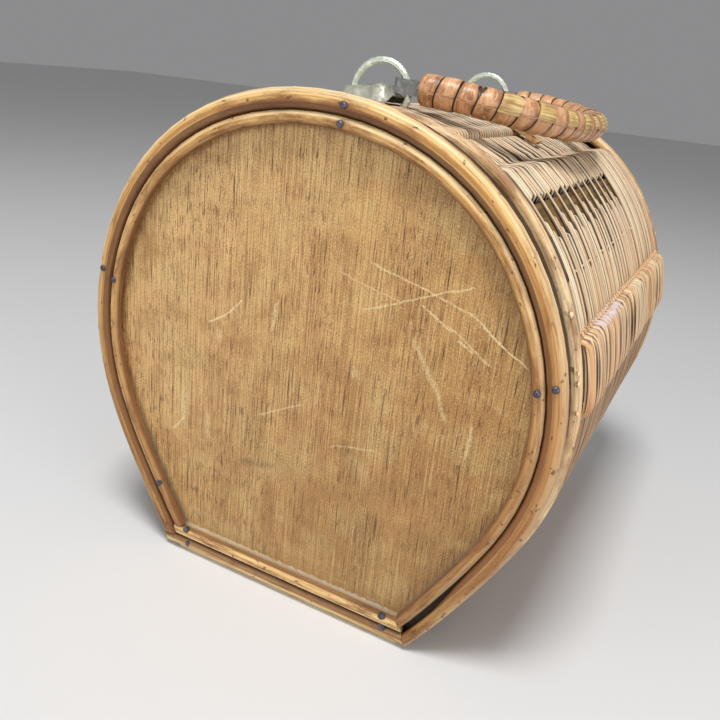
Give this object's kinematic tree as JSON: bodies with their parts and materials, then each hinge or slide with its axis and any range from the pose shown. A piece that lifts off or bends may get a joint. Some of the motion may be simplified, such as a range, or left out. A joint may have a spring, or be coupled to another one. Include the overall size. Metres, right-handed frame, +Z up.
{
  "type": "wicker basket bag",
  "caption": "Woven cane basket bag with plywood ends, a hinged lid along the top and a cane-wrapped bow handle held in wire rings.",
  "frame": {"origin": "the middle of the base board's underside, on the plane the basket stands on", "axes": "+Z up; +Y along the basket from the front end to the back end; +X towards the side the handle lies to, with the lid's hinge on the -X side"},
  "size_m": [0.2472, 0.2576, 0.2523],
  "materials": {
    "plywood": "worn satin",
    "cane": "satin",
    "wicker": "matte",
    "slat": "satin",
    "board": "matte",
    "wrap_cane": "satin",
    "nail_steel": "dull",
    "strap_steel": "dull",
    "ring_steel": "dull"
  },
  "bodies": {
    "basket": {"back_end_panel": "plywood", "back_frame_hoop": "cane", "back_hinge_loop": "cane", "back_inner_base_rod": "cane", "back_inner_nail_left": "nail_steel", "back_inner_nail_right": "nail_steel", "back_inner_nail_top": "nail_steel", "back_inner_rim_rod": "cane", "back_outer_base_rod": "cane", "back_outer_nail_left": "nail_steel", "back_outer_nail_right": "nail_steel", "back_outer_nail_top": "nail_steel", "back_outer_rim_rod": "cane", "base_board": "board", "closure_peg": "cane", "front_end_panel": "plywood", "front_frame_hoop": "cane", "front_hinge_loop": "cane", "front_inner_base_rod": "cane", "front_inner_nail_left": "nail_steel", "front_inner_nail_right": "nail_steel", "front_inner_nail_top": "nail_steel", "front_inner_rim_rod": "cane", "front_outer_base_rod": "cane", "front_outer_nail_left": "nail_steel", "front_outer_nail_right": "nail_steel", "front_outer_nail_top": "nail_steel", "front_outer_rim_rod": "cane", "left_base_rail": "cane", "left_lower_slat": "slat", "left_opening_rail": "cane", "left_side_rail": "cane", "left_side_weave": "wicker", "left_upper_slat": "slat", "middle_hinge_loop": "cane", "right_base_rail": "cane", "right_lower_slat": "slat", "right_opening_rail": "cane", "right_side_rail": "cane", "right_side_weave": "wicker", "right_upper_slat": "slat"},
    "lid": {"lid_weave": "wicker", "lid_right_rod": "cane", "lid_left_rod": "cane", "lid_front_stick": "cane", "lid_back_stick": "cane", "lid_batten": "slat", "closure_loop": "cane", "front_ring_strap": "strap_steel", "back_ring_strap": "strap_steel", "front_ring": "ring_steel", "back_ring": "ring_steel"},
    "handle": {"handle_core": "cane", "handle_wrap": "wrap_cane", "front_handle_loop": "strap_steel", "back_handle_loop": "strap_steel"}
  },
  "joints": [
    {"name": "lid_hinge", "type": "hinge", "parent": "basket", "child": "lid", "pos_m": [-0.041, 0, 0.22357], "axis": [0, -1, 0], "range_deg": [0, 100]},
    {"name": "handle_swing", "type": "hinge", "parent": "lid", "child": "handle", "pos_m": [0, 0, 0.23712], "axis": [0, -1, 0], "range_deg": [0, 115]}
  ]
}
